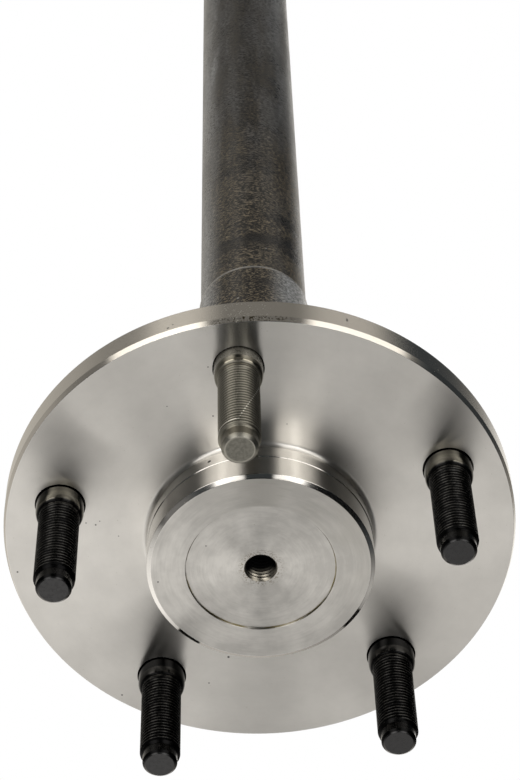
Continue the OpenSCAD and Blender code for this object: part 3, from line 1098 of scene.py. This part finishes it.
def stud_steel():
    """Black oxide with painted light and shade: an olive tone painted on the first stud and the near studs'
    collars, painted shade by the flange and in the thread, painted highlights on the crests and the tip's
    edge with crest wear, and bright on the shoulder.
    """
    material, tree, skin = new_material("stud_steel")
    place = add(tree, "ShaderNodeTexCoord").outputs["Object"]
    x, y, z = add(tree, "ShaderNodeSeparateXYZ", {0: place}).outputs
    crest, inner_flank, worn_edge = (
        add(tree, "ShaderNodeAttribute", attribute_name=name).outputs["Fac"]
        for name in ("crest", "inner_flank", "worn_edge")
    )
    threaded = between(tree, z, (LEAD_END + 1.2) * MM, SHOULDER_END * MM, 0.3 * MM)
    collar = ramp(tree, z, (SHOULDER_END + 0.5) * MM, (SHOULDER_END + 1.5) * MM)
    shade_by_flange = ramp(tree, z, (COLLAR_END + 0.2) * MM, (COLLAR_END + 1.8) * MM)
    first = ramp(tree, y, -0.045, -0.055)
    near_side = ramp(tree, y, 0.015, -0.005)
    # Painted light: an olive tone on the first stud and on the near studs' collars, black on the others.
    lit_studs = most(tree, [first, product(tree, near_side, ramp(tree, collar, 0, 1, 0.0, 0.6))])
    cloud = noise(tree, place, 110.0, 4.0)
    tip = ramp(tree, z, 0.2 * MM, 0.5 * MM, 1, 0)
    black = mixed(tree, cloud, DEEP_BLACK, LIGHT_BLACK)
    black = mixed(tree, tip, black, BLACK_TIP)
    olive = mixed(tree, cloud, DARK_OLIVE, LIGHT_OLIVE)
    # Painted shade: the olive collar is darker next to the flange.
    olive = mixed(tree, shade_by_flange, olive, OLIVE_SHADED_BY_FLANGE)
    tip_grain = ramp(tree, noise(tree, place, 900.0, 3.0), 0.35, 0.65)
    olive = mixed(tree, tip, olive, mixed(tree, tip_grain, DARK_TIP, LIGHT_TIP))
    # Painted highlight: a lighter ring round the tip's edge.
    olive = mixed(tree, worn_edge, olive, TIP_HIGHLIGHT)
    # Painted shade in the thread's roots and on its inner flanks, and painted light on its crests.
    shaded_thread = mixed(tree, ramp(tree, crest, 0.15, 0.9), SHADED_GROOVE, LIT_OLIVE_CREST)
    shaded_thread = mixed(tree, inner_flank, shaded_thread, SHADED_FLANK)
    olive = mixed(tree, threaded, olive, shaded_thread)
    coat = mixed(tree, lit_studs, black, olive)
    gleam = between(tree, z, (SHOULDER_END + 0.6) * MM, (COLLAR_END - 0.6) * MM, 0.3 * MM)
    coat = mixed(tree, gleam, coat, mixed(tree, lit_studs, BLACK_GLEAM, OLIVE_GLEAM))
    # Crest wear with painted highlights: the crests are lighter in patches.
    rub = product(tree, ramp(tree, crest, 0.84, 0.98), ramp(tree, noise(tree, place, 420.0, 3.0), 0.3, 0.6))
    coat = mixed(tree, rub, coat, mixed(tree, first, RUBBED_LIT_BLACK, RUBBED_LIT_OLIVE))

    angle = calc(tree, "ARCTAN2", calc(tree, "ADD", y, BOLT_CIRCLE_R * MM), x)
    (from_angle, from_height), (to_angle, to_height) = SCRATCH_START, SCRATCH_END
    line = ramp(
        tree,
        angle,
        math.radians(from_angle),
        math.radians(to_angle),
        from_height * MM,
        to_height * MM,
        smooth=False,
    )
    off = calc(tree, "ABSOLUTE", calc(tree, "SUBTRACT", z, line))
    scratch = product(tree, ramp(tree, off, 0.4 * MM, 0.8 * MM, 1, 0), ramp(tree, crest, 0.75, 0.95))
    scratch = product(tree, scratch, ramp(tree, y, -0.050, -0.055))
    scratch = product(tree, scratch, between(tree, z, from_height * MM, to_height * MM, 0.5 * MM))
    join(tree, skin.inputs["Base Color"], mixed(tree, scratch, coat, SCRATCH))
    rough = ramp(tree, noise(tree, place, 700.0, 2.0), 0.3, 0.7, 0.20, 0.32)
    matt = product(tree, first, ramp(tree, collar, 0, 1, 1, 0.35))
    glossy = product(tree, collar, calc(tree, "SUBTRACT", 1.0, first))
    rough = blended(tree, glossy, rough, 0.13)
    rough = blended(tree, matt, rough, 0.36)
    join(tree, skin.inputs["Roughness"], blended(tree, gleam, rough, 0.11))
    dull_collar = product(tree, first, collar, calc(tree, "SUBTRACT", 1.0, gleam))
    join(tree, skin.inputs["Metallic"], ramp(tree, dull_collar, 0, 1, 1, 0.4))
    return material


# Studio

def pale_floor():
    """A floor that is seen from above only, so that the camera under it sees the wheel side."""
    side = 6.0
    mesh = bpy.data.meshes.new("floor")
    corners = [(x * side, y * side, -FLOOR_GAP) for x, y in ((-1, -1), (1, -1), (1, 1), (-1, 1))]
    mesh.from_pydata(corners, [], [(0, 1, 2, 3)])
    floor = as_object("floor", mesh)
    material, tree, skin = new_material("pale_floor")
    skin.inputs["Base Color"].default_value = (0.86, 0.86, 0.85, 1)
    skin.inputs["Roughness"].default_value = 0.8
    skin.inputs["Emission Color"].default_value = (1, 1, 0.99, 1)
    skin.inputs["Emission Strength"].default_value = 0.3
    back = add(tree, "ShaderNodeNewGeometry").outputs["Backfacing"]
    clear = add(tree, "ShaderNodeBsdfTransparent").outputs[0]
    one_sided = add(tree, "ShaderNodeMixShader", {0: back, 1: skin.outputs[0], 2: clear}).outputs[0]
    tree.links.new(one_sided, tree.nodes["Material Output"].inputs["Surface"])
    mesh.materials.append(material)
    floor.visible_diffuse = floor.visible_glossy = floor.visible_transmission = floor.visible_shadow = False


def studio_world():
    """White behind the object. Metal sees a white sweep behind it, and bright boxes in a dark room."""
    world = bpy.data.worlds.new("studio")
    bpy.context.scene.world = world
    world.use_nodes = True
    tree = world.node_tree
    toward = add(tree, "ShaderNodeTexCoord").outputs["Generated"]
    x, y, z = add(tree, "ShaderNodeSeparateXYZ", {0: toward}).outputs
    turn = calc(tree, "DEGREES", calc(tree, "ARCTAN2", x, product(tree, y, -1)))
    upper = ramp(tree, z, -0.25, 0.45)
    low = ramp(tree, z, -0.75, -0.55, 1, 0)
    right_sweep = ramp(tree, turn, blended(tree, low, 122, 116), blended(tree, low, 154, 146))
    left_sweep = ramp(tree, turn, blended(tree, low, -80, -86), blended(tree, low, -146, -156))
    sweep = most(tree, [right_sweep, left_sweep])
    room = blended(tree, upper, 0.045, 0.21)
    flag = product(tree, between(tree, turn, 66, 116, 8), blended(tree, upper, 0.92, 0.8))
    room = product(tree, room, calc(tree, "SUBTRACT", 1.0, flag))
    left_wall = product(tree, between(tree, turn, -160, -72, 12), blended(tree, upper, 0.14, 0.20))
    left_box = product(tree, between(tree, turn, -48, -13, 3), 2.6)
    right_box = product(tree, between(tree, turn, 24, 60, 3), 2.4)
    seen_by_boss = between(tree, z, -0.925, -0.66, 0.025)
    seen_by_rim = between(tree, z, 0.10, 0.35, 0.05)
    seen_by_studs = product(tree, between(tree, z, -0.70, 0.15, 0.03), 0.65)
    box_heights = most(tree, [seen_by_boss, seen_by_rim, seen_by_studs])
    boxes = product(tree, calc(tree, "ADD", left_box, right_box), box_heights)
    left_panel = product(tree, ramp(tree, turn, -52, -36), ramp(tree, turn, -24, 0, 0.82, 0))
    right_panel = product(tree, ramp(tree, turn, 12, 40), ramp(tree, turn, 58, 72, 0.62, 0))
    panels = product(tree, calc(tree, "ADD", left_panel, right_panel), between(tree, z, 0.42, 0.88, 0.03))
    room = most(tree, [calc(tree, "ADD", calc(tree, "ADD", room, left_wall), boxes), panels])
    across = blended(tree, ramp(tree, x, -0.24, 0.24), 1.32, 0.60)
    rear = calc(tree, "MULTIPLY_ADD", calc(tree, "ABSOLUTE", x), 0.6, y)
    along = product(tree, ramp(tree, rear, 0.29, 0.63, 0.06, 1), ramp(tree, y, 0.74, 0.96, 1, 0.35))
    strip = product(tree, across, along)
    mirrored = blended(tree, sweep, room, blended(tree, upper, strip, 0.68))
    path = add(tree, "ShaderNodeLightPath").outputs
    seen = blended(tree, path["Is Glossy Ray"], 0.55, mirrored)
    strength = calc(tree, "MAXIMUM", seen, path["Is Camera Ray"])
    background = tree.nodes["Background"]
    lit = mixed(tree, upper, (1, 0.982, 0.953), (1, 0.94, 0.84))
    tint = mixed(tree, ramp(tree, strength, 0.02, 0.16), (0.80, 0.92, 1.0), lit)
    join(tree, background.inputs["Color"], mixed(tree, path["Is Glossy Ray"], (1, 1, 1), tint))
    join(tree, background.inputs["Strength"], strength)


def soft_box(name, azimuth, half_width, low, high, radiance, colour):
    """An upright lamp that the wheel face sees between two elevations, in degrees."""
    distance = 0.9
    out = Vector((math.sin(math.radians(azimuth)), -math.cos(math.radians(azimuth)), 0))
    bottom, top = (WHEEL_FACE * MM + distance * math.tan(math.radians(edge)) for edge in (low, high))
    width, height = 2 * distance * math.tan(math.radians(half_width)), top - bottom
    data = bpy.data.lights.new(name, "AREA")
    data.shape, data.size, data.size_y = "RECTANGLE", width, height
    data.energy = radiance * math.pi * width * height
    data.color = colour
    lamp = as_object(name, data)
    lamp.location = out * distance + Vector((0, 0, (bottom + top) / 2))
    lamp.rotation_euler = out.to_track_quat("Z", "Y").to_euler()
    lamp.visible_camera = False


def photo_camera():
    """The photograph's view: from below, at the wheel face."""
    data = bpy.data.cameras.new("camera")
    data.sensor_width = SENSOR
    data.lens = FOCAL_PIXELS * SENSOR / PHOTO_HEIGHT
    camera = as_object("camera", data)
    camera.location = VIEW_PLACE
    camera.rotation_euler = VIEW_TURN.to_euler()
    bpy.context.scene.camera = camera


def main():
    bpy.context.scene.view_settings.view_transform = "Standard"
    turn, thread, teeth = turning_tree(), thread_tree(), toothed_tree()
    marks = turning_marks_group()
    finishes = [
        turned_steel(
            "axle_steel",
            marks,
            spread=1.0,
            roughness=0.28,
            wall_roughness=0.28,
            lines=0.06,
            smudges=1.2,
            arcs=0.2,
        ),
        turned_steel(
            "polished_steel",
            marks,
            spread=1.0,
            roughness=0.18,
            wall_roughness=0.11,
            lines=0.1,
            smudges=0.3,
            arcs=0.1,
            tone=1.16,
        ),
        turned_steel(
            "boss_end",
            marks,
            spread=0.9,
            roughness=0.33,
            wall_roughness=0.33,
            lines=0.9,
            smudges=3.6,
            arcs=1.6,
            tone=0.90,
        ),
        forge_scale(),
        tapped_hole(),
    ]
    forging = make_forging(turn, thread, teeth, finishes)
    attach(forging, "root")
    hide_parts("axle_shaft")
    stud_mesh = make_stud_mesh(turn, thread, stud_steel())
    for k in range(STUD_COUNT):
        stud = as_object(f"stud_{k + 1}", placed_copy(stud_mesh, stud_place(k)))
        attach(stud, "root")
        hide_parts(f"wheel_stud_{k + 1}")
    bpy.data.meshes.remove(stud_mesh)
    pale_floor()
    studio_world()
    daylight = (1, 0.995, 0.975)
    soft_box("flash_left", azimuth=-31, half_width=4, low=-56, high=-48, radiance=4, colour=daylight)
    soft_box("flash_right", azimuth=42, half_width=4, low=-56, high=-48, radiance=4, colour=daylight)
    soft_box("back_light", azimuth=165, half_width=30, low=25, high=70, radiance=0.68, colour=daylight)
    photo_camera()


main()
